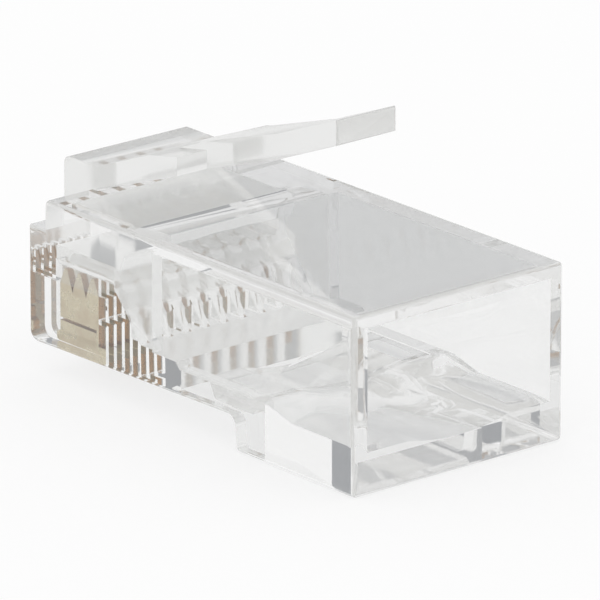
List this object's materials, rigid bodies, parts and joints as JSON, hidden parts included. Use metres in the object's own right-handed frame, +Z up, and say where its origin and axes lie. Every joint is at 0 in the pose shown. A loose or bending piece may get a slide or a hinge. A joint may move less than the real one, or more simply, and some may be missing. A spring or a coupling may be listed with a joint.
{
  "type": "modular plug",
  "caption": "Clear modular plug with a springy release latch, a row of slotted blade contacts, wire channels, a cable cavity and a strain relief bar.",
  "frame": {"origin": "under the middle of the whole plug's box, at the height of the rear block's base", "axes": "+X towards the cable end, -X the way the plug goes into its jack, +Z up on the latch side, +Y across"},
  "size_m": [0.0226, 0.0116, 0.0143],
  "materials": {
    "clear_plastic": "polished",
    "plated_contact": "bright plating"
  },
  "bodies": {
    "housing": {"housing": "clear_plastic"},
    "latch_tab": {"latch_tab": "clear_plastic"},
    "strain_relief_bar": {"strain_relief_bar": "clear_plastic"},
    "contact_1": {"contact_1": "plated_contact"},
    "contact_2": {"contact_2": "plated_contact"},
    "contact_3": {"contact_3": "plated_contact"},
    "contact_4": {"contact_4": "plated_contact"},
    "contact_5": {"contact_5": "plated_contact"},
    "contact_6": {"contact_6": "plated_contact"},
    "contact_7": {"contact_7": "plated_contact"},
    "contact_8": {"contact_8": "plated_contact"}
  },
  "joints": [
    {"name": "latch_flex", "type": "hinge", "parent": "housing", "child": "latch_tab", "pos_m": [-0.00892, 0, 0.00805], "axis": [0, 1, 0], "range_deg": [0, 18], "stiffness_Nm_per_rad": 0.002},
    {"name": "bar_web", "type": "hinge", "parent": "housing", "child": "strain_relief_bar", "pos_m": [0.00452, 0, 0.00247], "axis": [0, 1, 0], "range_deg": [0, 20]},
    {"name": "contact_1_crimp", "type": "slide", "parent": "housing", "child": "contact_1", "axis": [0, 0, 1], "range_m": [0, 0.00066]},
    {"name": "contact_2_crimp", "type": "slide", "parent": "housing", "child": "contact_2", "axis": [0, 0, 1], "range_m": [0, 0.00066]},
    {"name": "contact_3_crimp", "type": "slide", "parent": "housing", "child": "contact_3", "axis": [0, 0, 1], "range_m": [0, 0.00066]},
    {"name": "contact_4_crimp", "type": "slide", "parent": "housing", "child": "contact_4", "axis": [0, 0, 1], "range_m": [0, 0.00066]},
    {"name": "contact_5_crimp", "type": "slide", "parent": "housing", "child": "contact_5", "axis": [0, 0, 1], "range_m": [0, 0.00066]},
    {"name": "contact_6_crimp", "type": "slide", "parent": "housing", "child": "contact_6", "axis": [0, 0, 1], "range_m": [0, 0.00066]},
    {"name": "contact_7_crimp", "type": "slide", "parent": "housing", "child": "contact_7", "axis": [0, 0, 1], "range_m": [0, 0.00066]},
    {"name": "contact_8_crimp", "type": "slide", "parent": "housing", "child": "contact_8", "axis": [0, 0, 1], "range_m": [0, 0.00066]}
  ]
}
